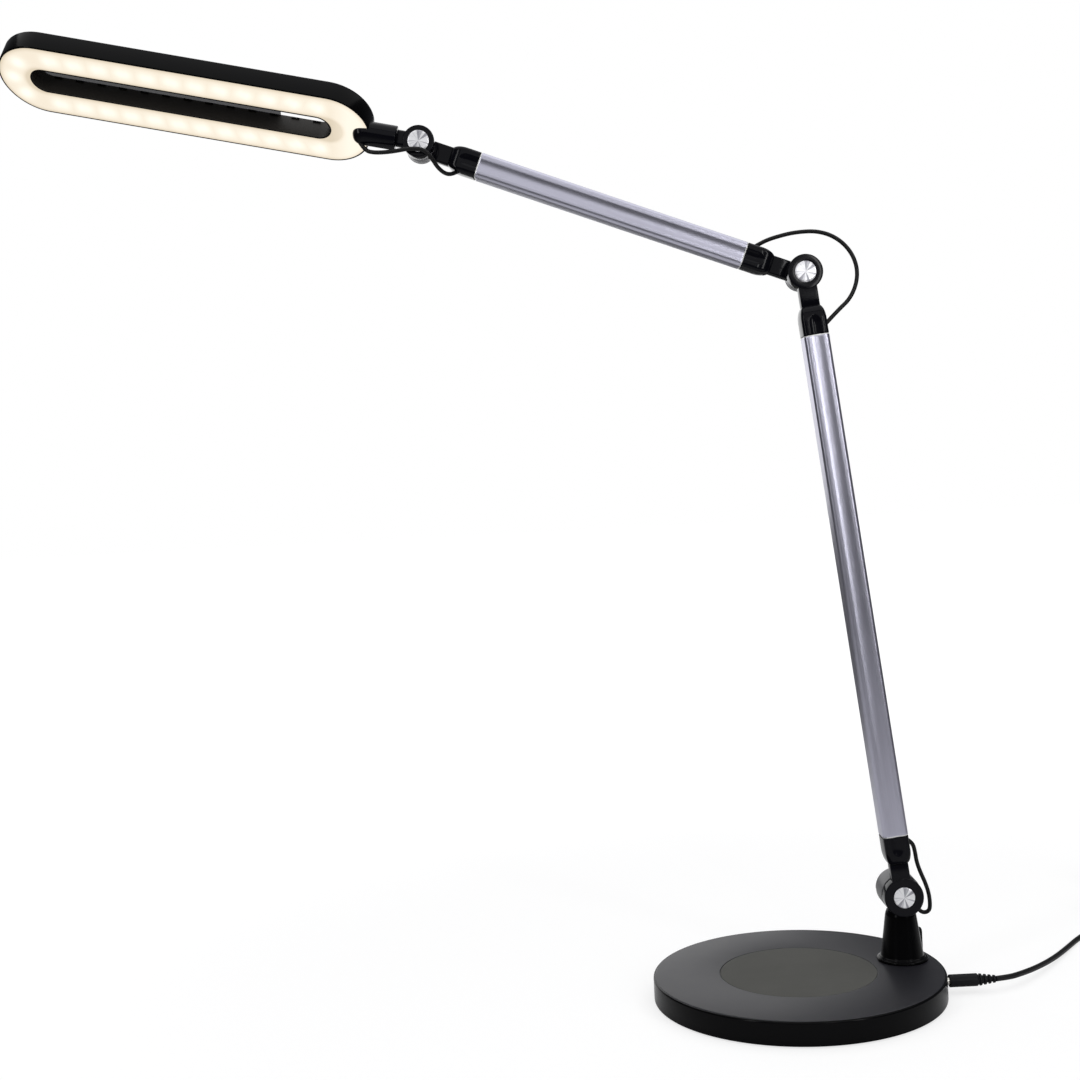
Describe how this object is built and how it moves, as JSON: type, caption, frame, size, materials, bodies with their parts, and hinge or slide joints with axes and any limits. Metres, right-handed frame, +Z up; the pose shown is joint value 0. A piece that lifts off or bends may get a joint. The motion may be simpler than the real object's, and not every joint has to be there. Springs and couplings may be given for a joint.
{
  "type": "swing arm desk lamp",
  "caption": "Desk lamp: round weighted base with a turning post, two hinged tube arms and a long slotted light head that tilts and rolls, fed by a plug-in lead.",
  "frame": {"origin": "centre of the flat underside of the round base", "axes": "+Z up; +X toward the side where the supply plug enters, away from the light head; +Y along the hinge axes, away from the side that shows the silver hinge caps"},
  "size_m": [0.9516, 0.404, 0.7667],
  "materials": {
    "anti_slip_pad": "matt soft rubber",
    "ballast_disc": "raw casting",
    "barrel": "satin silver",
    "base_bottom_plate": "black painted sheet steel",
    "base_housing": "gloss black",
    "base_screws": "zinc plated",
    "base_top_cover": "satin black",
    "black": "gloss black",
    "cord": "satin black jacket",
    "dc_socket": "black",
    "diffuser": "lit warm white opal",
    "head_housing": "gloss black",
    "heat_plate": "plain sheet",
    "inlay_disc": "fine matt olive grey",
    "lead": "satin black jacket",
    "led_board": "white coated aluminium",
    "led_chips": "phosphor",
    "plug": "moulded black",
    "post_barrel_cover": "gloss dark grey",
    "post_column": "gloss black",
    "post_rear_cover": "gloss black",
    "power_board": "green solder mask",
    "slot_screen": "smoked grey sheet",
    "spun": "radially spun bright face",
    "steel": "zinc plated",
    "swivel_bushing": "natural acetal",
    "tube": "satin anodised extrusion",
    "washer": "natural nylon"
  },
  "bodies": {
    "base": {"anti_slip_pad": "anti_slip_pad", "base_bottom_plate": "base_bottom_plate", "base_housing": "base_housing", "base_top_cover": "base_top_cover", "inlay_disc": "inlay_disc", "ballast_disc": "ballast_disc", "base_screws": "base_screws", "dc_socket": "dc_socket", "power_board": "power_board", "swivel_bushing": "swivel_bushing", "dc_plug": "plug", "plug_boot": "plug", "power_cord": "cord", "cord_coil": "cord", "cord_tie": "cord", "adapter": "plug"},
    "post": {"post_column": "post_column", "post_barrel_cover": "post_barrel_cover", "post_rear_cover": "post_rear_cover", "swivel_nut": "steel", "swivel_washer": "steel", "base_hinge_bolt": "steel", "base_hinge_nut": "steel", "base_hinge_washer": "washer", "base_lead": "lead"},
    "lower_arm": {"lower_tube": "tube", "lower_cap_bottom": "black", "lower_cap_top": "black", "base_eye": "black", "elbow_eye": "black", "base_hinge_cap": "spun", "elbow_hinge_cap": "spun", "lower_wire": "lead", "elbow_lead": "lead"},
    "upper_arm": {"upper_tube": "tube", "upper_cap_elbow": "black", "upper_cap_head": "black", "upper_neck_elbow": "black", "upper_neck_head": "black", "elbow_barrel": "barrel", "head_hinge_barrel": "barrel", "barrel_rear_caps": "barrel", "arm_hinge_bolts": "steel", "arm_hinge_nuts": "steel", "arm_hinge_washers": "washer", "upper_wire": "lead", "head_lead_arm": "lead"},
    "head_neck": {"head_knuckle": "black", "head_hinge_cap": "spun", "roll_clip": "steel", "head_lead_neck": "lead"},
    "head": {"head_bracket": "black", "head_housing": "head_housing", "diffuser": "diffuser", "led_board": "led_board", "led_chips": "led_chips", "heat_plate": "heat_plate", "head_screws": "steel", "slot_teeth": "black", "slot_screen": "slot_screen"}
  },
  "joints": [
    {"name": "post_swivel", "type": "hinge", "parent": "base", "child": "post", "pos_m": [0.085, 0.018, 0.019], "axis": [0, 0, 1], "range_deg": [-80, 100]},
    {"name": "lower_tilt", "type": "hinge", "parent": "post", "child": "lower_arm", "pos_m": [0.085, 0.006, 0.0718], "axis": [0, 1, 0], "range_deg": [-65, 50], "deforming": ["base_lead"]},
    {"name": "elbow_fold", "type": "hinge", "parent": "lower_arm", "child": "upper_arm", "pos_m": [0.03098, 0.006, 0.55801], "axis": [0, 1, 0], "range_deg": [-55, 62], "deforming": ["elbow_lead"]},
    {"name": "head_tilt", "type": "hinge", "parent": "upper_arm", "child": "head_neck", "pos_m": [-0.25977, 0.006, 0.67283], "axis": [0, 1, 0], "range_deg": [-85, 60], "deforming": ["head_lead_arm"]},
    {"name": "head_roll", "type": "hinge", "parent": "head_neck", "child": "head", "pos_m": [-0.25977, 0.006, 0.67283], "axis": [-0.9756, 0, 0.2195], "range_deg": [-105, 45], "deforming": ["head_lead_neck"]}
  ]
}
